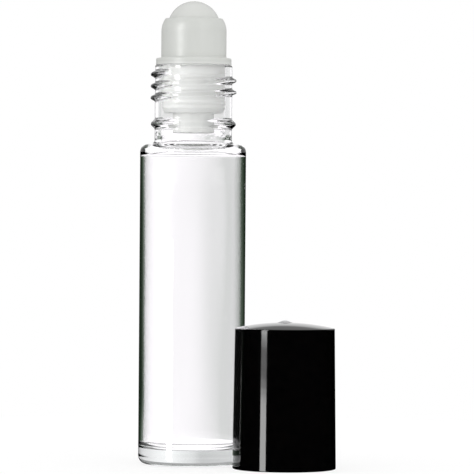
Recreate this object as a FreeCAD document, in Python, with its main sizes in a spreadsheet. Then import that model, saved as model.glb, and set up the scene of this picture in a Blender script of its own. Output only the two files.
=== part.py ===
import FreeCAD
import Part
import Sketcher

import os
import re

# Roll-on bottle for 10 ml of perfume oil, with its cap taken off and standing beside it. Millimetres.
# The origin is on the bottle's axis, on the surface that it stands on, with +Z up.

SIZES = {
    # Glass body
    "body_diameter": 19.05,
    "shoulder_height": 57.45,
    "glass_wall": 0.75,
    "base_thickness": 2.9,
    "heel_radius": 1.5,
    "foot_width": 1.5,
    "pushup_depth": 0.5,
    "shoulder_thickness": 0.85,
    "shoulder_radius": 1.4,
    "cavity_radius": 1.3,
    "bore_root_radius": 1.6,
    # Screw neck
    "neck_diameter": 13.9,
    "neck_height": 14.2,
    "neck_wall": 1.15,
    "neck_root_radius": 0.8,
    "rim_radius": 0.3,
    "thread_depth": 0.75,
    "thread_pitch": 2.1,
    "thread_turns": 2.25,
    "thread_drop": 1.47,
    "thread_top_bearing": 221,
    "thread_root_width": 1.3,
    "thread_crest_width": 0.8,
    "thread_crest_rise": 0.3,
    "run_out_turns": 0.12,
    "run_out_sink": 0.02,
    "bead_level": 3.6,
    "bead_depth": 0.675,
    "bead_width": 1.75,
    # Roller ball
    "ball_diameter": 9.525,
    "ball_clearance": 0.06,
    # Roller housing, above the rim
    "flange_inset": 0.175,
    "flange_thickness": 1.25,
    "flange_radius": 0.3,
    "orifice_diameter": 5.8,
    "seat_height": 1.63,
    "seat_width": 0.8,
    "reservoir_rise": 0.8,
    "cup_gap": 0.19,
    "cup_wall": 0.9,
    "lip_grip": 0.22,
    "lip_thickness": 0.6,
    "lip_undercut": 1.2,
    "lip_curve_height": 2.3,
    # Roller housing, inside the neck
    "skirt_clearance": 0.15,
    "skirt_wall": 0.95,
    "skirt_length": 8.6,
    "skirt_floor": 0.9,
    "lead_in_length": 0.8,
    "lead_in_depth": 0.45,
    "rib_clearance": 0.02,
    "rib_width": 0.9,
    "rib_level": 2.2,
    "rib_pitch": 2.3,
    "rib_count": 3,
    "nozzle_inset": 1.95,
    "nozzle_wall": 0.7,
    "nozzle_length": 3.6,
    # Screw cap
    "thread_clearance": 0.2,
    "cap_wall": 1.28,
    "cap_draft": 0.35,
    "cap_gap": 2.5,
    "cap_top_thickness": 1.62,
    "cap_crown": 1.0,
    "cap_edge_radius": 0.2,
    "mouth_edge_radius": 0.2,
    "mouth_chamfer": 0.3,
    "flange_clearance": 0.5,
    "step_rise": 0.7,
    "seal_diameter": 4.4,
    "seal_wall": 0.7,
    "seal_height": 0.6,
    "gate_diameter": 1.8,
    "gate_height": 0.35,
    # Where the cap stands: its gap from the bottle, and its bearing in front of the +X axis, in degrees
    "stand_gap": 0.3,
    "stand_bearing": 29.1,
}

# Radii and levels worked out from the sizes. Levels on the cap are heights above its mouth.
PLACES = {
    "body_radius": "body_diameter / 2",
    "cavity_wall_radius": "body_radius - glass_wall",
    "cavity_top": "shoulder_height - shoulder_thickness",
    "pushup_radius": "body_radius - heel_radius - foot_width",
    "pushup_sphere": "(pushup_radius^2 + pushup_depth^2) / (2 * pushup_depth)",
    "neck_radius": "neck_diameter / 2",
    "bore_radius": "neck_radius - neck_wall",
    "rim_level": "shoulder_height + neck_height",
    "shoulder_width": "body_radius - neck_radius",
    "cavity_ledge": "cavity_wall_radius - bore_radius",
    "bead_centre": "shoulder_height + bead_level",
    "bead_arc": "(bead_width^2 / 4 + bead_depth^2) / (2 * bead_depth)",
    "neck_middle": "neck_radius - neck_wall / 2",
    "thread_top": "rim_level - thread_drop",
    "thread_bottom": "thread_top - thread_turns * thread_pitch",
    "thread_bottom_bearing": "thread_top_bearing - 360 * thread_turns",
    "thread_embed": "(neck_wall - thread_depth - run_out_sink) / 2",
    "thread_crest_arc": "(thread_crest_width^2 / 4 + thread_crest_rise^2) / (2 * thread_crest_rise)",
    "run_out_lean": "atan((thread_depth + run_out_sink) / (run_out_turns * thread_pitch))",
    "ball_radius": "ball_diameter / 2",
    "socket_radius": "ball_radius + ball_clearance",
    "orifice_radius": "orifice_diameter / 2",
    "lip_inner": "ball_radius - lip_grip",
    "lip_outer": "lip_inner + lip_thickness",
    "cup_inner": "ball_radius + cup_gap",
    "cup_outer": "cup_inner + cup_wall",
    "seat_outer": "orifice_radius + seat_width",
    "flange_outer": "max(neck_radius - flange_inset; cup_outer + 3 * flange_radius)",
    "flange_top": "rim_level + flange_thickness",
    "seat_bottom": "flange_top + seat_height",
    "ball_centre": "seat_bottom + sqrt(socket_radius^2 - orifice_radius^2)",
    "seat_top": "ball_centre - sqrt(socket_radius^2 - seat_outer^2)",
    "lip_top": "ball_centre + sqrt(socket_radius^2 - lip_inner^2)",
    "lip_drop": "cup_outer - lip_outer",
    "lip_arc": "(lip_curve_height^2 + lip_drop^2) / (2 * lip_drop)",
    "core_level": "rim_level + flange_thickness / 2",
    "skirt_outer": "bore_radius - skirt_clearance",
    "skirt_inner": "skirt_outer - skirt_wall",
    "skirt_end": "rim_level - skirt_length",
    "nozzle_outer": "skirt_outer - nozzle_inset",
    "nozzle_inner": "nozzle_outer - nozzle_wall",
    "nozzle_end": "skirt_end - nozzle_length",
    "rib_crest": "bore_radius - rib_clearance",
    "rib_depth": "rib_crest - skirt_outer",
    "rib_arc": "(rib_width^2 / 4 + rib_depth^2) / (2 * rib_depth)",
    "rib_bottom": "rim_level - rib_level - (rib_count - 1) * rib_pitch",
    "cap_closed_level": "shoulder_height + cap_gap",
    "cap_bore": "neck_radius + max(thread_depth; bead_depth) + thread_clearance",
    "cap_mouth": "cap_bore + cap_wall",
    "cap_top": "cap_mouth - cap_draft",
    "cap_upper_bore": "max(flange_outer; cup_outer) + flange_clearance",
    "seal_inner": "seal_diameter / 2",
    "seal_sag": "ball_radius - sqrt(ball_radius^2 - seal_inner^2)",
    "cap_step": "flange_top - cap_closed_level",
    "cap_roof": "ball_centre + ball_radius + seal_height - seal_sag - cap_closed_level",
    "cap_height": "cap_roof + cap_top_thickness",
    "cap_crown_top": "cap_height + cap_crown",
    "cap_crown_sphere": "(cap_top^2 + cap_crown^2) / (2 * cap_crown)",
    "gate_radius": "gate_diameter / 2",
    "gate_top": "cap_crown_top + gate_height",
    "stand_distance": "body_radius + cap_mouth + stand_gap",
}

doc = FreeCAD.newDocument("roll_on_bottle")


def bound(text):
    """An expression in the sizes' names, as the document's objects read it."""

    def with_sheet(found):
        word = found.group()
        if word in SIZES:
            return "Sizes." + word
        return "Places." + word if word in PLACES else word

    return re.sub(r"[a-z_]+", with_sheet, text)


def fill_sheet(name, cells):
    sheet = doc.addObject("Spreadsheet::Sheet", name)
    for row, (alias, content) in enumerate(cells.items(), start=1):
        sheet.set(f"A{row}", alias)
        sheet.set(f"B{row}", content)
        sheet.setAlias(f"B{row}", alias)
    doc.recompute()
    return sheet


fill_sheet("Sizes", {name: str(size) for name, size in SIZES.items()})
places = fill_sheet("Places", {name: "=" + bound(text) for name, text in PLACES.items()})


def value(text):
    return float(places.evalExpression(bound(text)))


def new_body(label):
    body = doc.addObject("PartDesign::Body", label)
    body.Label = label
    return body


def arc_between(start, end, radius):
    """The shorter arc from start to end. It turns left where the radius is positive."""
    chord = end - start
    to_left = FreeCAD.Vector(-chord.y, chord.x, 0).normalize()
    reach = (radius**2 - chord.Length**2 / 4) ** 0.5
    bulge = abs(radius) - reach
    side = -1 if radius > 0 else 1
    middle = (start + end) / 2 + to_left * bulge * side
    return Part.ArcOfCircle(start, middle, end)


def fix_corner(sketch, segment, end, corner):
    """Holds a segment's end at a corner, given as the expressions of its two coordinates."""
    for kind, text, axis in zip(("DistanceX", "DistanceY"), corner, (-2, -1)):
        if text == "0":
            sketch.addConstraint(Sketcher.Constraint("PointOnObject", segment, end, axis))
        else:
            number = sketch.addConstraint(
                Sketcher.Constraint(kind, -1, 1, segment, end, value(text))
            )
            sketch.setExpression(f"Constraints[{number}]", bound(text))


def draw_outline(body, name, corners):
    """A closed outline on the body's XZ plane. A corner is (radius, level), or (radius, level, arc radius)
    where an arc leads on to the next corner. An arc radius that starts with a minus sign turns right."""
    sketch = body.newObject("Sketcher::SketchObject", name)
    planes = body.Origin.OriginFeatures
    sketch.AttachmentSupport = (next(p for p in planes if p.Role == "XZ_Plane"), "")
    sketch.MapMode = "FlatFace"
    points = [FreeCAD.Vector(value(x), value(z), 0) for x, z, *_ in corners]
    first_ends = []
    for number, corner in enumerate(corners):
        start = points[number]
        end = points[(number + 1) % len(points)]
        if len(corner) == 2:
            sketch.addGeometry(Part.LineSegment(start, end))
        else:
            sketch.addGeometry(arc_between(start, end, value(corner[2])))
            arc = sketch.addConstraint(Sketcher.Constraint("Radius", number, abs(value(corner[2]))))
            sketch.setExpression(f"Constraints[{arc}]", bound(corner[2].lstrip("-")))
        starts_here = sketch.getPoint(number, 1).isEqual(start, 1e-6)
        first_ends.append(1 if starts_here else 2)
    for number, corner in enumerate(corners):
        before = number - 1 if number else len(corners) - 1
        sketch.addConstraint(
            Sketcher.Constraint("Coincident", before, 3 - first_ends[before], number, first_ends[number])
        )
        fix_corner(sketch, number, first_ends[number], corner[:2])
    return sketch


def turn(body, kind, name, corners):
    """Turns an outline about the body's axis: a Revolution adds it, and a Groove cuts it away."""
    before = body.Shape.Volume if body.Tip else 0.0
    sketch = draw_outline(body, name + "_outline", corners)
    feature = body.newObject("PartDesign::" + kind, name)
    feature.Profile = sketch
    feature.ReferenceAxis = (sketch, ["V_Axis"])
    feature.Angle = 360
    doc.recompute()
    grew = body.Shape.Volume - before
    if grew * (1 if kind == "Revolution" else -1) <= 0:
        raise RuntimeError(f"{name} changed the volume by {grew}")
    return feature


def wind(body, name, corners, turns, bearing, lean="0", downwards=False):
    """Winds an outline about the body's axis as a right-hand thread, from a bearing in degrees. A negative
    lean, in degrees, draws it in towards the axis as it goes."""
    before = body.Shape.Volume
    sketch = draw_outline(body, name + "_outline", corners)
    about_axis = FreeCAD.Rotation(FreeCAD.Vector(0, 1, 0), value(bearing))
    sketch.AttachmentOffset = FreeCAD.Placement(FreeCAD.Vector(), about_axis)
    sketch.setExpression("AttachmentOffset.Rotation.Angle", bound(bearing))
    feature = body.newObject("PartDesign::AdditiveHelix", name)
    feature.Profile = sketch
    feature.ReferenceAxis = (sketch, ["V_Axis"])
    feature.Mode = "pitch-turns-angle"
    feature.Reversed = downwards
    feature.setExpression("Pitch", bound("thread_pitch"))
    feature.setExpression("Turns", bound(turns))
    feature.setExpression("Angle", bound(lean))
    doc.recompute()
    if body.Shape.Volume <= before:
        raise RuntimeError(f"{name} added nothing")


def circles(body, *places_of_circles):
    """The names of the body's circular edges that have these (radius, level) pairs."""
    names = []
    for radius, level in places_of_circles:
        found = [
            f"Edge{number}"
            for number, edge in enumerate(body.Shape.Edges, start=1)
            if not edge.Degenerated
            and isinstance(edge.Curve, Part.Circle)
            and abs(edge.Curve.Radius - value(radius)) < 1e-4
            and abs(edge.Curve.Center.z - value(level)) < 1e-4
        ]
        if not found:
            raise RuntimeError(f"{body.Label} has no edge of radius {radius} at {level}")
        names += found
    return names


def round_edges(body, name, radius, *places_of_circles):
    base = (body.Tip, circles(body, *places_of_circles))
    feature = body.newObject("PartDesign::Fillet", name)
    feature.Base = base
    feature.setExpression("Radius", bound(radius))
    doc.recompute()


def ridge(level):
    """The outline of the neck's thread at a level: its flanks slope out to a round crest."""
    root = "neck_radius - thread_embed"
    flank_top = "neck_radius + thread_depth - thread_crest_rise"
    return [
        (root, f"{level} - thread_root_width / 2"),
        ("neck_radius", f"{level} - thread_root_width / 2"),
        (flank_top, f"{level} - thread_crest_width / 2", "thread_crest_arc"),
        (flank_top, f"{level} + thread_crest_width / 2"),
        ("neck_radius", f"{level} + thread_root_width / 2"),
        (root, f"{level} + thread_root_width / 2"),
    ]


def make_bottle():
    body = new_body("glass_bottle")
    turn(body, "Revolution", "glass", [
        ("0", "0"),
        ("body_radius", "0"),
        ("body_radius", "shoulder_height"),
        ("neck_radius", "shoulder_height"),
        ("neck_radius", "rim_level"),
        ("0", "rim_level"),
    ])
    turn(body, "Groove", "cavity", [
        ("0", "base_thickness"),
        ("cavity_wall_radius", "base_thickness"),
        ("cavity_wall_radius", "cavity_top"),
        ("bore_radius", "cavity_top"),
        ("bore_radius", "rim_level"),
        ("0", "rim_level"),
    ])
    turn(body, "Groove", "pushup", [
        ("0", "0"),
        ("pushup_radius", "0", "pushup_sphere"),
        ("0", "pushup_depth"),
    ])
    turn(body, "Revolution", "transfer_bead", [
        ("neck_middle", "bead_centre - bead_width / 2"),
        ("neck_radius", "bead_centre - bead_width / 2", "bead_arc"),
        ("neck_radius", "bead_centre + bead_width / 2"),
        ("neck_middle", "bead_centre + bead_width / 2"),
    ])
    upper = ridge("thread_top")
    lower = ridge("thread_bottom")
    wind(body, "thread", lower, "thread_turns", "thread_bottom_bearing")
    wind(body, "upper_run_out", upper, "run_out_turns", "thread_top_bearing", "-run_out_lean")
    wind(body, "lower_run_out", lower, "run_out_turns", "thread_bottom_bearing", "-run_out_lean", True)
    round_edges(body, "heel", "heel_radius", ("body_radius", "0"))
    round_edges(
        body, "shoulder_edge", "min(shoulder_radius; 0.6 * shoulder_width)",
        ("body_radius", "shoulder_height"),
    )
    round_edges(
        body, "neck_root", "min(neck_root_radius; 0.35 * shoulder_width)",
        ("neck_radius", "shoulder_height"),
    )
    round_edges(
        body, "cavity_corners", "min(cavity_radius; 0.44 * cavity_ledge)",
        ("cavity_wall_radius", "base_thickness"),
        ("cavity_wall_radius", "cavity_top"),
    )
    round_edges(
        body, "bore_root", "min(bore_root_radius; 0.54 * cavity_ledge)",
        ("bore_radius", "cavity_top"),
    )
    round_edges(
        body, "rim", "min(rim_radius; 0.4 * neck_wall)",
        ("neck_radius", "rim_level"),
        ("bore_radius", "rim_level"),
    )
    return body


def make_housing():
    body = new_body("roller_housing")
    turn(body, "Revolution", "moulding", [
        ("nozzle_inner", "nozzle_end"),
        ("nozzle_outer", "nozzle_end"),
        ("nozzle_outer", "skirt_end"),
        ("skirt_outer - lead_in_depth", "skirt_end"),
        ("skirt_outer", "skirt_end + lead_in_length"),
        ("skirt_outer", "rim_level"),
        ("flange_outer", "rim_level"),
        ("flange_outer", "flange_top"),
        ("cup_outer", "flange_top"),
        ("cup_outer", "lip_top - lip_curve_height", "lip_arc"),
        ("lip_outer", "lip_top"),
        ("lip_inner", "lip_top"),
        ("cup_inner", "lip_top - lip_undercut"),
        ("cup_inner", "seat_top + reservoir_rise"),
        ("seat_outer", "seat_top", "-socket_radius"),
        ("orifice_radius", "seat_bottom"),
        ("orifice_radius", "core_level"),
        ("skirt_inner", "core_level"),
        ("skirt_inner", "skirt_end + skirt_floor"),
        ("nozzle_inner", "skirt_end + skirt_floor"),
    ])
    rib = turn(body, "Revolution", "sealing_rib", [
        ("skirt_inner + skirt_wall / 2", "rib_bottom - rib_width / 2"),
        ("skirt_outer", "rib_bottom - rib_width / 2", "rib_arc"),
        ("skirt_outer", "rib_bottom + rib_width / 2"),
        ("skirt_inner + skirt_wall / 2", "rib_bottom + rib_width / 2"),
    ])
    ribs = body.newObject("PartDesign::LinearPattern", "sealing_ribs")
    ribs.Originals = [rib]
    ribs.Direction = (rib.Profile[0], ["V_Axis"])
    ribs.setExpression("Length", bound("(rib_count - 1) * rib_pitch"))
    ribs.setExpression("Occurrences", bound("rib_count"))
    body.Tip = ribs
    doc.recompute()
    round_edges(
        body, "flange_edge", "min(flange_radius; 0.4 * flange_thickness)",
        ("flange_outer", "flange_top"),
        ("cup_outer", "flange_top"),
    )
    return body


def make_ball():
    ball = doc.addObject("Part::Sphere", "roller_ball")
    ball.Label = "roller_ball"
    ball.setExpression("Radius", bound("ball_radius"))
    ball.setExpression("Placement.Base.z", bound("ball_centre"))
    doc.recompute()
    return ball


def make_cap():
    body = new_body("screw_cap")
    turn(body, "Revolution", "shell", [
        ("0", "0"),
        ("cap_mouth", "0"),
        ("cap_top", "cap_height", "cap_crown_sphere"),
        ("0", "cap_crown_top"),
    ])
    turn(body, "Groove", "bore", [
        ("0", "0"),
        ("cap_bore", "0"),
        ("cap_bore", "cap_step"),
        ("cap_upper_bore", "cap_step + step_rise"),
        ("cap_upper_bore", "cap_roof"),
        ("0", "cap_roof"),
    ])
    turn(body, "Revolution", "seal_ring", [
        ("seal_inner", "cap_roof - seal_height"),
        ("seal_inner + seal_wall", "cap_roof - seal_height"),
        ("seal_inner + seal_wall", "cap_roof + cap_top_thickness / 2"),
        ("seal_inner", "cap_roof + cap_top_thickness / 2"),
    ])
    turn(body, "Revolution", "gate_mark", [
        ("0", "cap_height"),
        ("gate_radius", "cap_height"),
        ("gate_radius", "gate_top"),
        ("0", "gate_top"),
    ])
    round_edges(body, "cap_edge", "cap_edge_radius", ("cap_top", "cap_height"))
    round_edges(body, "mouth_edge", "mouth_edge_radius", ("cap_mouth", "0"))
    mouth = (body.Tip, circles(body, ("cap_bore", "0")))
    lead_in = body.newObject("PartDesign::Chamfer", "mouth_lead_in")
    lead_in.Base = mouth
    lead_in.setExpression("Size", bound("mouth_chamfer"))
    body.setExpression("Placement.Base.x", bound("stand_distance * cos(stand_bearing)"))
    body.setExpression("Placement.Base.y", bound("-stand_distance * sin(stand_bearing)"))
    doc.recompute()
    return body


pieces = [make_bottle(), make_housing(), make_ball(), make_cap()]
doc.recompute()

for thing in doc.Objects:
    if "Invalid" in thing.State or "Error" in thing.State:
        raise RuntimeError(f"{thing.Name} failed: {thing.State}")
for piece in pieces:
    if piece.Shape.isNull() or not piece.Shape.isValid() or len(piece.Shape.Solids) != 1:
        raise RuntimeError(f"{piece.Label} isn't one valid solid")

os.makedirs("parts", exist_ok=True)
for piece in pieces:
    piece.Shape.exportStep(f"parts/{piece.Label}.step")
    print(piece.Label, round(piece.Shape.Volume, 2), piece.Shape.BoundBox)
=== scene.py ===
import cmath
import math

import bpy
from mathutils import Matrix, Vector


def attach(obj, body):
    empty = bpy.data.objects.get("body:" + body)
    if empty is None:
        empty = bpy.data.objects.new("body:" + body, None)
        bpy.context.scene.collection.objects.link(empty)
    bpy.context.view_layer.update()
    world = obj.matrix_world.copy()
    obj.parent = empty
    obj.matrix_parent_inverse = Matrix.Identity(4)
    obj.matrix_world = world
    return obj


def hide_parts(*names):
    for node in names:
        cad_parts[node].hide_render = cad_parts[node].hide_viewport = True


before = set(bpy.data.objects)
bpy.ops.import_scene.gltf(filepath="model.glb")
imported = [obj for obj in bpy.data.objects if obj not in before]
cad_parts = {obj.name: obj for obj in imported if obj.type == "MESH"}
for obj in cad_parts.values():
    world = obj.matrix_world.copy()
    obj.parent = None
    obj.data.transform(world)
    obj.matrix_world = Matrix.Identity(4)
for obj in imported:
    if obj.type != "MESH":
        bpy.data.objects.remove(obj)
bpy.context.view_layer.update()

MM = 0.001
SIDES = 160
# Radii closer than this belong to one surface
SAME = 0.01

# The bottle, in millimetres
BODY = 9.525
CAVITY = 8.775
NECK = 6.95
BORE = 5.8
BASE = 2.9
PUSHUP = 6.525
PUSHUP_DEPTH = 0.5
HEEL_FILLET = 1.5
SHOULDER = 57.45
SHOULDER_FILLET = 1.4
NECK_FILLET = 0.8
CAVITY_TOP = 56.6
CAVITY_FILLET = 1.3
BORE_FILLET = 1.6
RIM = 71.65
RIM_FILLET = 0.3
BEAD = 61.05
BEAD_DEPTH = 0.675
BEAD_REACH = 1.1
# The blown wall turns uneven this far inside the cavity's ends, and is fully so after the fade
WALL_START = 1.2
WALL_FADE = 8.0

# The threads. A run is the height and bearing of its lower end, and its turns
PITCH = 2.1
THREAD_DEPTH = 0.75
THREAD_HALF_WIDTH = 0.72
THREAD_FLANK = 0.6
RUN_OUT = 0.12
NECK_RUN = (65.455, 131, 2.25)
CAP_RUN = (4.98, 221, 1.5)

# The roller's housing, from its feed tube up to its lip
TUBE = 3.7
TUBE_BORE = 3.0
TUBE_END = 59.45
SKIRT = 5.65
SKIRT_BORE = 4.7
SKIRT_END = 63.05
SKIRT_FLOOR = 63.95
RIBBED = (64.3, 70.0)
RIBS = (64.85, 67.15, 69.45)
RIB_DEPTH = 0.13
RIB_HALF_WIDTH = 0.5
RIB_FLANK = 0.45
FLANGE = 6.775
FLANGE_TOP = 72.9
CUP = 5.8525
CUP_BEND = 77.702
LIP_DROP = 0.71
LIP_TALL = 2.3
LIP_TOP = 80.002
LIP_MOUTH = 4.5425
WELL = 4.9525
WELL_FLOOR = 72.275
SEAT = 3.7
ORIFICE = 2.9
ORIFICE_TOP = 74.53
BALL_CENTRE = 78.383
SOCKET = 4.8225
# Below these heights, in metres, the plastic's colour is painted lighter than above them: painted light on
# the plug behind the glass neck
PAINTED_LIGHT_HEIGHTS = (0.0712, 0.0722)

# The cap, with heights above its mouth
CAP_CENTRE = (16.606, -9.2428)
CAP_MOUTH = 9.18
CAP_TOP = 8.83
CAP_HEIGHT = 24.877
CROWN = 1.0
CROWN_EDGE = 0.6
GATE = 1.5
GATE_TOP = 26.227
# The pale scar on the gate ends between these radii, in metres
SCAR = (0.0012, 0.0015)
CAP_BORE = 7.9
CAP_UPPER_BORE = 7.275
CAP_ROOF = 23.257
CAP_STEP = (12.95, 13.65)
CAP_THREADED = (2.7, 10.5)
SEAL_RING = (2.2, 2.9)
SEAL_DEPTH = 0.6

# The radius of the floor, in millimetres
FLOOR = 130.0

# The camera, in millimetres and degrees
LENS = 253.5
SENSOR = 36
CAMERA_PLACE = (7.99, -600, 48)
CAMERA_AIM = (7.99, 0, 40.85)
CAMERA_ROLL = 0.41

# The strip lamps, in metres
STRIP_PLACE = (-0.67, -0.6)
STRIP_WIDTH = 0.22

# Slopes of the rays behind the glass, as sines, from where a change begins to where it is complete
ABOVE_BODY = (0.0162, 0.0195)
NECK_SIGHT = (0.0205, 0.0225)
ABOVE_NECK = (0.045, 0.06)
TO_FLOOR = (-0.2, -0.16)
SLOPING = (-0.16, -0.1)
PLUNGING = (-0.6, -0.5)
# Brightens all that is seen through glass
GLASS_GAIN = (1.31, 1.28, 1.32)
# The ground behind the neck
NECK_TONE = (0.61, 0.625, 0.605)

# The soft light on plain surfaces: its level, and how much stronger it is from the front
SOFT_LEVEL = 0.86
SOFT_FRONT = 0.3
SOFT_FROM = (0.12, -0.9, 0.42)
SOFT_BEHIND_GLASS = 0.25


def divided(start, end, spacing):
    """Points between the ends of a straight run, with one close to each end to keep the shading crisp."""
    length = abs(end - start)
    edge = min(0.06, length / 4)
    count = max(1, math.ceil((length - 2 * edge) / spacing))
    reach = length - 2 * edge
    return [start + (end - start) * (edge + reach * step / count) / length for step in range(count + 1)]


def outline(corners, spacing, closed=False):
    """Points along an outline, as complex numbers of radius and height. A third number rounds a corner."""
    bends = []
    for number, corner in enumerate(corners):
        here = complex(*corner[:2])
        if len(corner) == 2:
            bends.append([here])
            continue
        back = complex(*corners[number - 1][:2]) - here
        ahead = complex(*corners[(number + 1) % len(corners)][:2]) - here
        back /= abs(back)
        ahead /= abs(ahead)
        half = abs(cmath.phase(ahead / back)) / 2
        centre = here + (back + ahead) / abs(back + ahead) * corner[2] / math.sin(half)
        arm = here + back * corner[2] / math.tan(half) - centre
        sweep = cmath.phase((here + ahead * corner[2] / math.tan(half) - centre) / arm)
        steps = max(4, math.ceil(abs(sweep) / math.radians(9)))
        bends.append([centre + arm * cmath.exp(1j * sweep * step / steps) for step in range(steps + 1)])
    points = list(bends[0])
    for bend in bends[1:]:
        points += divided(points[-1], bend[0], spacing) + bend
    if closed:
        points += divided(points[-1], points[0], spacing)
    return points


def lathe(name, points, radius_at=None, centre=(0.0, 0.0), closed=False):
    """Turns an outline into a mesh. radius_at gives the radius of a point at a bearing in degrees."""
    vertices = []
    rings = []
    for point in points:
        first = len(vertices)
        if point.real < 1e-6:
            vertices.append((centre[0] * MM, centre[1] * MM, point.imag * MM))
            rings.append([first] * (SIDES + 1))
            continue
        for side in range(SIDES):
            angle = math.tau * side / SIDES
            radius = radius_at(point, math.degrees(angle)) if radius_at else point.real
            x = centre[0] + radius * math.cos(angle)
            y = centre[1] + radius * math.sin(angle)
            vertices.append((x * MM, y * MM, point.imag * MM))
        rings.append([*range(first, first + SIDES), first])
    pairs = list(zip(rings, rings[1:]))
    if closed:
        pairs.append((rings[-1], rings[0]))
    faces = []
    for low, high in pairs:
        for side in range(SIDES):
            corners = (low[side], low[side + 1], high[side + 1], high[side])
            faces.append(tuple(dict.fromkeys(corners)))
    mesh = bpy.data.meshes.new(name)
    mesh.from_pydata(vertices, [], faces)
    mesh.shade_smooth()
    piece = bpy.data.objects.new(name, mesh)
    bpy.context.collection.objects.link(piece)
    return piece


def smooth(value):
    """Eases from 0 to 1, and stays there outside that range."""
    value = min(1.0, max(0.0, value))
    return value * value * (3 - 2 * value)


def thread(height, bearing, bottom, bottom_bearing, turns):
    """How far a right-hand thread stands out at a height and bearing. It fades in and out at its ends."""
    first = (bearing - bottom_bearing) / 360 % 1
    rise = 0.0
    for lap in range(-1, math.ceil(turns) + 1):
        along = first + lap
        fade = min(along + RUN_OUT, turns + RUN_OUT - along) / RUN_OUT
        off = abs(height - bottom - PITCH * along)
        rise = max(rise, smooth(fade) * smooth((THREAD_HALF_WIDTH - off) / THREAD_FLANK))
    return rise * THREAD_DEPTH


def swell(bearing, height):
    """The unevenness of the blown inner wall, in millimetres, as a few slow waves."""
    angle = math.radians(bearing)
    return (
        0.022 * math.sin(3 * angle + 0.03 * height + 0.6)
        + 0.014 * math.sin(5 * angle - 0.05 * height + 2.1)
        + 0.007 * math.sin(9 * angle + 0.04 * height)
        + 0.012 * math.sin(0.21 * height + angle)
    )


def bottle_radius(point, bearing):
    """The neck takes the thread, and the cavity's wall its unevenness."""
    radius, height = point.real, point.imag
    if radius > NECK - SAME and BEAD + BEAD_REACH + 0.1 < height < RIM - RIM_FILLET - 0.05:
        return radius + thread(height, bearing, *NECK_RUN)
    if abs(radius - CAVITY) < SAME:
        ends = min(height - BASE - WALL_START, CAVITY_TOP - WALL_START - height)
        return radius + swell(bearing, height) * smooth(ends / WALL_FADE)
    return radius


def make_bottle():
    sphere = (PUSHUP**2 + PUSHUP_DEPTH**2) / (2 * PUSHUP_DEPTH)
    pushup = []
    for step in range(14):
        radius = PUSHUP * step / 14
        pushup.append(complex(radius, PUSHUP_DEPTH - sphere + math.sqrt(sphere**2 - radius**2)))
    body = outline(
        [
            (PUSHUP, 0),
            (BODY, 0, HEEL_FILLET),
            (BODY, SHOULDER, SHOULDER_FILLET),
            (NECK, SHOULDER, NECK_FILLET),
            (NECK, BEAD - BEAD_REACH),
        ],
        1.6,
    )
    bead = []
    for step in range(1, 26):
        off = -BEAD_REACH + 2 * BEAD_REACH * step / 26
        bead.append(complex(NECK + BEAD_DEPTH * smooth((1.0 - abs(off)) / 0.9), BEAD + off))
    # Close rings carry the thread
    neck = [complex(NECK, BEAD + BEAD_REACH + 0.055 * step) for step in range(166)]
    inside = outline(
        [
            (NECK, RIM - 0.34),
            (NECK, RIM, RIM_FILLET),
            (BORE, RIM, RIM_FILLET),
            (BORE, CAVITY_TOP, BORE_FILLET),
            (CAVITY, CAVITY_TOP, CAVITY_FILLET),
            (CAVITY, BASE, CAVITY_FILLET),
            (0, BASE),
        ],
        1.1,
    )
    piece = lathe("bottle_glass", pushup + body + bead + neck + inside, bottle_radius)
    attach(piece, "bottle")
    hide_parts("glass_bottle")
    return piece


def make_housing():
    plug = outline(
        [
            (TUBE_BORE, TUBE_END),
            (TUBE, TUBE_END, 0.15),
            (TUBE, SKIRT_END, 0.2),
            (SKIRT - 0.45, SKIRT_END, 0.15),
            (SKIRT, SKIRT_END + 0.8, 0.3),
            (SKIRT, RIBBED[0]),
        ],
        0.8,
    )
    ribs = []
    for step in range(1, 96):
        height = RIBBED[0] + (RIBBED[1] - RIBBED[0]) * step / 96
        off = min(abs(height - level) for level in RIBS)
        ribs.append(complex(SKIRT + RIB_DEPTH * smooth((RIB_HALF_WIDTH - off) / RIB_FLANK), height))
    cup = outline(
        [
            (SKIRT, RIBBED[1]),
            (SKIRT, RIM, 0.1),
            (FLANGE, RIM, 0.15),
            (FLANGE, FLANGE_TOP, 0.3),
            (CUP, FLANGE_TOP, 0.3),
            (CUP, CUP_BEND),
        ],
        0.7,
    )
    # The lip bends inwards over the ball along an arc
    arc = (LIP_TALL**2 + LIP_DROP**2) / (2 * LIP_DROP)
    lip = []
    for step in range(1, 17):
        height = LIP_TALL * step / 17
        lip.append(complex(CUP - arc + math.sqrt(arc**2 - height**2), CUP_BEND + height))
    lip_edge = CUP - LIP_DROP
    seat = BALL_CENTRE - math.sqrt(SOCKET**2 - SEAT**2)
    well = outline(
        [
            (lip_edge + 0.0475, LIP_TOP - 0.132),
            (lip_edge, LIP_TOP, 0.12),
            (LIP_MOUTH, LIP_TOP, 0.1),
            (WELL, LIP_TOP - 1.2, 0.3),
            (WELL, seat + 0.8, 0.3),
            (SEAT, seat),
            (ORIFICE, ORIFICE_TOP),
            (ORIFICE, WELL_FLOOR, 0.15),
            (SKIRT_BORE, WELL_FLOOR, 0.3),
            (SKIRT_BORE, SKIRT_FLOOR, 0.3),
            (TUBE_BORE, SKIRT_FLOOR, 0.2),
        ],
        0.8,
    )
    piece = lathe("housing_moulding", plug + ribs + cup + lip + well, closed=True)
    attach(piece, "bottle")
    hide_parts("roller_housing")
    return piece


def cap_radius(point, bearing):
    """The lower bore takes the thread."""
    radius, height = point.real, point.imag
    if abs(radius - CAP_BORE) < SAME and CAP_THREADED[0] < height < CAP_THREADED[1]:
        return radius - thread(height, bearing, *CAP_RUN)
    return radius


def crown(radius):
    """The height of the cap's domed top at a radius."""
    sphere = (CAP_TOP**2 + CROWN**2) / (2 * CROWN)
    return CAP_HEIGHT + CROWN - sphere + math.sqrt(sphere**2 - radius**2)


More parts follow.
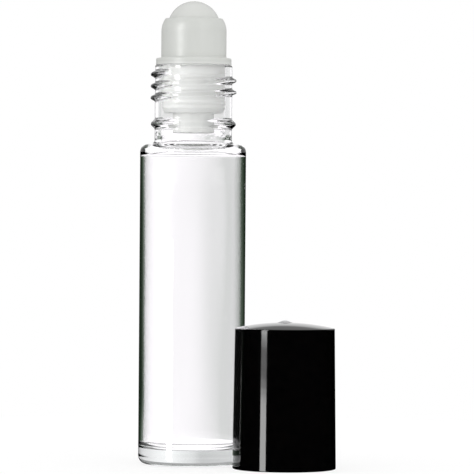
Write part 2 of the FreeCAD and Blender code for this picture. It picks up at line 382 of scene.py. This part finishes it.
def make_cap():
    inside = outline(
        [
            (0, CAP_ROOF),
            (SEAL_RING[0], CAP_ROOF, 0.1),
            (SEAL_RING[0], CAP_ROOF - SEAL_DEPTH, 0.1),
            (SEAL_RING[1], CAP_ROOF - SEAL_DEPTH, 0.1),
            (SEAL_RING[1], CAP_ROOF, 0.1),
            (CAP_UPPER_BORE, CAP_ROOF, 0.4),
            (CAP_UPPER_BORE, CAP_STEP[1], 0.2),
            (CAP_BORE, CAP_STEP[0], 0.2),
            (CAP_BORE, CAP_THREADED[1]),
        ],
        1.2,
    )
    # Close rings carry the thread
    threaded = [complex(CAP_BORE, CAP_THREADED[1] - 0.075 * step) for step in range(1, 103)]
    mouth = outline(
        [
            (CAP_BORE, CAP_THREADED[0]),
            (CAP_BORE, 0.3, 0.1),
            (CAP_BORE + 0.3, 0, 0.1),
            (CAP_MOUTH, 0, 0.2),
            (CAP_TOP, CAP_HEIGHT, 0.2),
            (CAP_TOP - CROWN_EDGE, crown(CAP_TOP - CROWN_EDGE)),
        ],
        0.8,
    )
    top = [complex(8.0 - 0.25 * step, crown(8.0 - 0.25 * step)) for step in range(26)]
    gate = []
    for step in range(25):
        radius = GATE * (1 - step / 24)
        rise = (GATE_TOP - crown(0)) * smooth((GATE - radius) / 1.3)
        gate.append(complex(radius, crown(radius) + rise))
    piece = lathe("cap_moulding", inside + threaded + mouth + top + gate, cap_radius, CAP_CENTRE)
    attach(piece, "cap")
    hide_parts("screw_cap")
    return piece


class Nodes:
    """A node tree that is built by name."""

    def __init__(self, tree):
        self.tree = tree

    def add(self, kind, links=None, **settings):
        """A new node. Links gives its sockets either a value or another node's output."""
        node = self.tree.nodes.new(kind)
        for name, value in settings.items():
            setattr(node, name, value)
        for socket, value in (links or {}).items():
            if isinstance(value, bpy.types.NodeSocket):
                self.tree.links.new(value, node.inputs[socket])
            else:
                node.inputs[socket].default_value = value
        return node

    def math(self, operation, *values):
        return self.add("ShaderNodeMath", dict(enumerate(values)), operation=operation).outputs[0]

    def vector(self, operation, *values):
        return self.add("ShaderNodeVectorMath", dict(enumerate(values)), operation=operation).outputs[0]

    def choose(self, factor, first, second):
        """The first colour where the factor is 0, and the second where it is 1."""
        return self.add("ShaderNodeMix", {0: factor, 6: first, 7: second}, data_type="RGBA").outputs[2]

    def noise(self, scale, detail=2.0, stretch=(1, 1, 1)):
        place = self.add("ShaderNodeTexCoord").outputs["Object"]
        place = self.add("ShaderNodeMapping", {"Vector": place, "Scale": stretch}).outputs[0]
        return self.add("ShaderNodeTexNoise", {"Vector": place, "Scale": scale, "Detail": detail}).outputs[0]

    def span(self, value, low, high, start=0.3, end=0.7):
        """Goes from low to high as the value goes from start to end, and no further."""
        links = {"Value": value, "From Min": start, "From Max": end, "To Min": low, "To Max": high}
        return self.add("ShaderNodeMapRange", links).outputs[0]

    def shades(self, value, dark, light, start=0.3, end=0.7):
        return self.choose(self.span(value, 0.0, 1.0, start, end), (*dark, 1), (*light, 1))

    def bump(self, height, distance, strength):
        links = {"Height": height, "Distance": distance, "Strength": strength}
        return self.add("ShaderNodeBump", links).outputs[0]


def material(name, piece, **settings):
    """A new material on a piece. Returns its nodes and its main shader."""
    made = bpy.data.materials.new(name)
    made.use_nodes = True
    shader = made.node_tree.nodes["Principled BSDF"]
    for socket, value in settings.items():
        shader.inputs[socket.replace("_", " ")].default_value = value
    piece.data.materials.clear()
    piece.data.materials.append(made)
    return Nodes(made.node_tree), shader


def glass(piece):
    """Clear glass with a faint green tint, slight smears and a gentle ripple."""
    nodes, shader = material(
        "clear_glass",
        piece,
        Base_Color=(1, 1, 1, 1),
        Transmission_Weight=1.0,
        IOR=1.52,
    )
    link = nodes.tree.links.new
    smears = nodes.noise(260, 3.0, (1, 1, 0.35))
    link(nodes.span(smears, 0.0, 0.02, 0.62, 0.8), shader.inputs["Roughness"])
    link(nodes.bump(nodes.noise(700), 0.00002, 0.15), shader.inputs["Normal"])
    tint = nodes.add("ShaderNodeVolumeAbsorption", {"Color": (0.5, 0.72, 0.58, 1), "Density": 10.0})
    link(tint.outputs[0], nodes.tree.nodes["Material Output"].inputs["Volume"])


def milky(piece, name, dark, light, rough, grain):
    """Milky plastic: painted lighter below the rim as painted light on the plug behind the glass, cloudy
    inside, with a fine moulded grain. Dark is its own colour, light the painted-light colour below the rim.
    """
    nodes, shader = material(
        name,
        piece,
        Subsurface_Weight=0.15,
        Subsurface_Radius=(1.5, 1.5, 1.4),
        Subsurface_Scale=0.001,
        IOR=1.5,
    )
    link = nodes.tree.links.new
    clouds = nodes.noise(330, 4.0, (1, 1, 0.4))
    place = nodes.add("ShaderNodeTexCoord").outputs["Object"]
    height = nodes.add("ShaderNodeSeparateXYZ", {0: place}).outputs[2]
    # Painted light: below the rim, where the plug sits behind the glass, the colour goes most of the way to
    # light
    painted_light = nodes.span(height, 0.95, 0.12, *PAINTED_LIGHT_HEIGHTS)
    # Random cloudy tone, added to the painted light
    clouds_and_painted_light = nodes.math("MULTIPLY_ADD", nodes.span(clouds, -1.0, 1.0), 0.05, painted_light)
    link(nodes.shades(clouds_and_painted_light, dark, light, 0.0, 1.0), shader.inputs["Base Color"])
    link(nodes.span(nodes.noise(900, 3.0), rough - 0.04, rough + 0.05), shader.inputs["Roughness"])
    link(nodes.bump(nodes.noise(5200, 2.0), 0.00001, grain), shader.inputs["Normal"])


def black(piece):
    """Gloss black plastic, with a pale dull scar on the gate."""
    nodes, shader = material("black_plastic", piece, IOR=1.5)
    link = nodes.tree.links.new
    place = nodes.add("ShaderNodeTexCoord").outputs["Object"]
    gate = (CAP_CENTRE[0] * MM, CAP_CENTRE[1] * MM, GATE_TOP * MM)
    away = nodes.add("ShaderNodeVectorMath", {0: place, 1: gate}, operation="DISTANCE").outputs["Value"]
    scar = nodes.span(away, 1.0, 0.0, *SCAR)
    deep = nodes.shades(nodes.noise(900), (0.0006, 0.0006, 0.0008), (0.0016, 0.0014, 0.0014))
    link(nodes.choose(scar, deep, (0.6, 0.6, 0.61, 1)), shader.inputs["Base Color"])
    polish = nodes.span(nodes.noise(170, 3.0, (0.3, 0.3, 1)), 0.045, 0.07)
    link(nodes.math("MULTIPLY_ADD", scar, 0.45, polish), shader.inputs["Roughness"])
    link(nodes.bump(nodes.noise(420, 1.0), 0.00004, 0.1), shader.inputs["Normal"])


def make_floor():
    """A pale disc that takes the shadow. The camera sees it mostly as white."""
    points = [complex(FLOOR * step / 12, 0) for step in range(13)]
    floor = lathe("floor", points[::-1])
    floor.visible_glossy = False
    floor.visible_transmission = False
    made = bpy.data.materials.new("pale_floor")
    made.use_nodes = True
    nodes = Nodes(made.node_tree)
    made.node_tree.nodes.remove(made.node_tree.nodes["Principled BSDF"])
    path = nodes.add("ShaderNodeLightPath").outputs
    share = nodes.math("MULTIPLY", path["Is Camera Ray"], 0.7)
    pale = nodes.add("ShaderNodeBsdfDiffuse", {"Color": (0.86, 0.86, 0.86, 1)}).outputs[0]
    white = nodes.add("ShaderNodeEmission", {"Strength": 1.1}).outputs[0]
    mixed = nodes.add("ShaderNodeMixShader", {0: share, 1: pale, 2: white}).outputs[0]
    made.node_tree.links.new(mixed, made.node_tree.nodes["Material Output"].inputs["Surface"])
    floor.data.materials.append(made)


def panels(nodes, bearing, stops, green=0.0):
    """Brightness round the horizon, from stops of bearing in degrees and level. Green tints dark levels."""
    ramp = nodes.add("ShaderNodeValToRGB", {0: bearing})
    marks = ramp.color_ramp.elements
    while len(marks) < len(stops):
        marks.new(0.5)
    for mark, (degrees, level) in zip(marks, stops):
        mark.position = degrees / 360 + 0.5
        tinted = level ** (1 + green * (1 - level))
        mark.color = (tinted, level, tinted, 1)
    return ramp.outputs[0]


def seen_straight(nodes, bearing, height, solid):
    """The white ground as it shows by straight paths, through hollow walls or through solid glass."""
    hollow = panels(nodes, bearing, [
        (-180, 1.0), (-170, 1.0), (-162, 0.02), (-108, 0.02), (-100, 1.0), (-80, 1.0), (-72, 0.02),
        (-34, 0.02), (-26, 1.0), (-6, 1.0), (-2.2, 0.923), (-0.5, 0.837), (0.8, 0.785), (1.9, 0.69),
        (2.5, 0.635), (4.4, 0.65), (6.5, 0.71), (9.8, 0.64), (13.4, 0.59), (21.8, 0.34), (30, 0.09),
        (36, 0.02), (72, 0.02), (80, 1.0), (100, 1.0), (108, 0.02), (162, 0.02), (170, 1.0), (180, 1.0),
    ], green=0.2)
    above = nodes.span(height, 0.0, 1.0, *ABOVE_BODY)
    below = nodes.span(height, 1.0, 0.0, *TO_FLOOR)
    hollow = nodes.vector("MAXIMUM", hollow, nodes.math("MAXIMUM", above, below))
    toned = nodes.vector("MAXIMUM", NECK_TONE, nodes.span(height, 0.0, 1.0, *ABOVE_NECK))
    hollow = nodes.choose(nodes.span(height, 0.0, 1.0, *NECK_SIGHT), hollow, toned)
    thick = panels(nodes, bearing, [
        (-180, 0.55), (-37, 0.55), (-8, 0.5), (-2, 0.64), (4, 0.7), (10, 0.78), (16, 0.87), (29, 0.82),
        (40, 0.74), (180, 0.74),
    ])
    return nodes.choose(solid, hollow, thick)


def seen_in_wall(nodes, bearing, height, solid):
    """Reflections inside the glass: dark edges, lighter where a ray leaves upwards or steeply down."""
    edges = panels(nodes, bearing, [
        (-180, 0.04), (-60, 0.04), (-40, 0.26), (-31, 0.09), (-20, 0.03),
        (20, 0.025), (31, 0.05), (40, 0.12), (60, 0.04), (180, 0.04),
    ], green=0.15)
    edges = nodes.choose(solid, (0.01, 0.01, 0.01, 1), edges)
    sloping = nodes.span(height, 0.35, 0.0, *SLOPING)
    plunging = nodes.span(height, 0.9, 0.0, *PLUNGING)
    edges = nodes.vector("MAXIMUM", edges, nodes.math("MAXIMUM", sloping, plunging))
    sides = panels(nodes, bearing, [
        (-180, 0.6), (-36, 0.6), (-27, 1.0), (15, 1.0), (23, 0.66), (180, 0.66),
    ], green=0.16)
    sides = nodes.vector("MAXIMUM", sides, nodes.span(height, 0.0, 1.0, *ABOVE_NECK))
    return nodes.choose(nodes.span(height, 0.0, 1.0, *ABOVE_BODY), edges, sides)


def seen_in_gloss(nodes, bearing, height):
    """What the plastics and the outside of the glass mirror: a narrow backdrop and a paler upper half."""
    backdrop = panels(nodes, bearing, [(-180, 0.0), (-9, 0.0), (-4, 1.0), (4, 1.0), (9, 0.0), (180, 0.0)])
    backdrop = nodes.math("MULTIPLY", backdrop, nodes.span(height, 1.1, 0.33, 0.28, 0.35))
    upper = panels(nodes, bearing, [
        (-180, 0.0), (-70, 0.0), (-50, 0.45), (50, 0.45), (70, 0.0), (180, 0.0),
    ])
    upper = nodes.math("MULTIPLY", nodes.span(height, 0.0, 1.0, *ABOVE_BODY), upper)
    return nodes.math("MAXIMUM", backdrop, upper)


def make_world():
    """White for the camera, soft light for plain surfaces, and a ground with dark panels for the glass."""
    world = bpy.data.worlds.new("studio")
    bpy.context.scene.world = world
    world.use_nodes = True
    # The world is met by rays alone, because its levels depend on their depths
    world.cycles.sampling_method = "NONE"
    nodes = Nodes(world.node_tree)
    nodes.tree.nodes.clear()
    place = nodes.add("ShaderNodeTexCoord").outputs["Generated"]
    axes = nodes.add("ShaderNodeSeparateXYZ", {0: place}).outputs
    height = axes[2]
    turn = nodes.math("ARCTAN2", axes[0], axes[1])
    bearing = nodes.math("MULTIPLY_ADD", turn, 1 / math.tau, 0.5)
    path = nodes.add("ShaderNodeLightPath").outputs

    # A ray crosses two surfaces of solid glass, and four of a hollow piece. Ray Depth is one more than the
    # bounces, so what is left of it without the crossings tells whether the ray was also reflected
    crossed = path["Transmission Depth"]
    solid = nodes.math("LESS_THAN", crossed, 2.5)
    reflected = nodes.math("GREATER_THAN", nodes.math("SUBTRACT", path["Ray Depth"], crossed), 1.5)
    straight = seen_straight(nodes, bearing, height, solid)
    through = nodes.choose(reflected, straight, seen_in_wall(nodes, bearing, height, solid))
    through = nodes.vector("MULTIPLY", through, GLASS_GAIN)

    front = nodes.add("ShaderNodeVectorMath", {0: place, 1: SOFT_FROM}, operation="DOT_PRODUCT")
    even = nodes.math("MULTIPLY_ADD", front.outputs["Value"], SOFT_FRONT, SOFT_LEVEL)
    inside = nodes.math("GREATER_THAN", crossed, 0.5)
    even = nodes.math("MULTIPLY", even, nodes.math("MULTIPLY_ADD", inside, SOFT_BEHIND_GLASS, 1.0))

    light = nodes.choose(path["Is Transmission Ray"], seen_in_gloss(nodes, bearing, height), through)
    light = nodes.choose(nodes.math("GREATER_THAN", path["Diffuse Depth"], 0.5), light, even)
    light = nodes.choose(path["Is Camera Ray"], light, (1, 1, 1, 1))
    sky = nodes.add("ShaderNodeBackground", {"Color": light})
    out = nodes.add("ShaderNodeOutputWorld")
    nodes.tree.links.new(sky.outputs[0], out.inputs["Surface"])


def make_strip(name, low, high, power):
    """An upright strip light, front left, that shows as the highlight on the plastics."""
    lamp = bpy.data.lights.new(name, "AREA")
    lamp.shape = "RECTANGLE"
    lamp.size = STRIP_WIDTH
    lamp.size_y = high - low
    lamp.energy = power * (high - low)
    strip = bpy.data.objects.new(name, lamp)
    strip.location = (*STRIP_PLACE, (low + high) / 2)
    ahead = Vector((-STRIP_PLACE[0], -STRIP_PLACE[1], 0))
    strip.rotation_euler = ahead.to_track_quat("-Z", "Y").to_euler()
    strip.visible_camera = False
    strip.visible_diffuse = False
    strip.visible_transmission = False
    bpy.context.collection.objects.link(strip)


def make_camera():
    camera = bpy.data.objects.new("camera", bpy.data.cameras.new("camera"))
    camera.data.lens = LENS
    camera.data.sensor_width = SENSOR
    place = Vector(CAMERA_PLACE) * MM
    aim = Vector(CAMERA_AIM) * MM
    facing = (aim - place).to_track_quat("-Z", "Y").to_matrix()
    turned = facing @ Matrix.Rotation(math.radians(CAMERA_ROLL), 3, "Z")
    camera.matrix_world = Matrix.Translation(place) @ turned.to_4x4()
    bpy.context.collection.objects.link(camera)
    bpy.context.scene.camera = camera


bpy.context.scene.view_settings.view_transform = "Standard"
make_camera()
make_world()
make_strip("upper_strip", low=0.092, high=0.65, power=10.0)
make_strip("glint_strip", low=0.009, high=0.03, power=7.0)
make_strip("dim_strip", low=-0.014, high=0.009, power=1.0)
make_strip("lower_strip", low=-0.6, high=-0.014, power=6.0)
make_floor()
glass(make_bottle())
milky(
    make_housing(),
    "natural_plastic",
    dark=(0.635, 0.65, 0.62),
    # Painted light: the plug's lightened colour behind the glass; above the rim the plastic keeps mostly the
    # dark colour
    light=(0.92, 0.925, 0.91),
    rough=0.36,
    grain=0.2,
)
milky(
    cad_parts["roller_ball"],
    "ball_plastic",
    dark=(0.68, 0.69, 0.665),
    light=(0.86, 0.87, 0.85),
    rough=0.22,
    grain=0.05,
)
black(make_cap())
